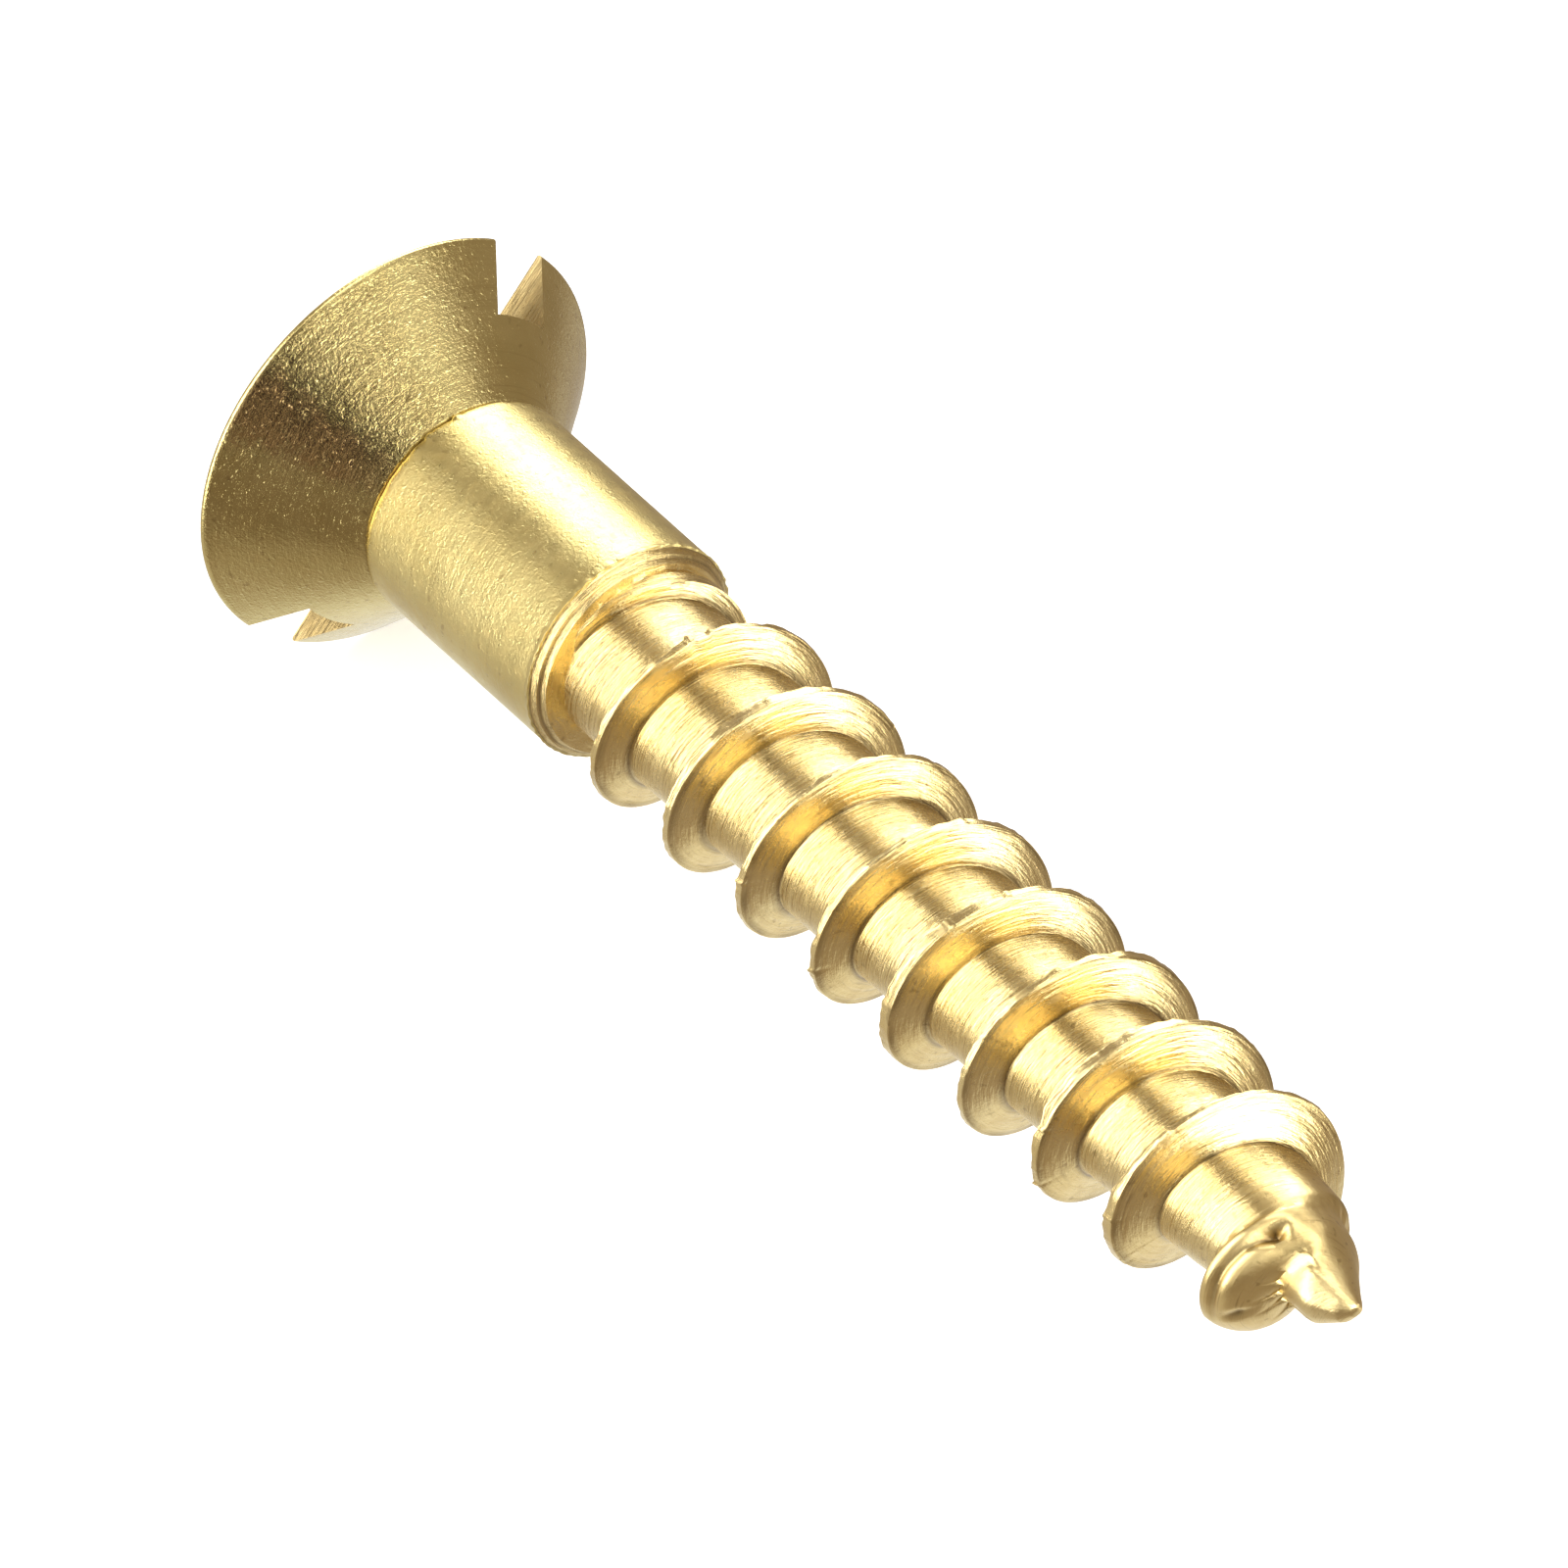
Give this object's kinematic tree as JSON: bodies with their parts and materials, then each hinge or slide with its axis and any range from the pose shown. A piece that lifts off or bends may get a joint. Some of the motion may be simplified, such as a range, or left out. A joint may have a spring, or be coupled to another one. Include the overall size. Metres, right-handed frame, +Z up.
{
  "type": "wood screw",
  "caption": "Brass countersunk wood screw with a straight driver slot, plain shank, coarse left-hand thread and stubby conical point.",
  "frame": {"origin": "centre of the head's flat face, on the screw's axis", "axes": "+X out of the head along the screw's axis, the point towards -X; +Z up with the screw lying on its side"},
  "size_m": [0.0198, 0.0058, 0.0058],
  "materials": {
    "brass": "bright turned and thread-cut brass, lightly tumbled"
  },
  "bodies": {
    "root": {"screw": "brass"}
  },
  "joints": []
}
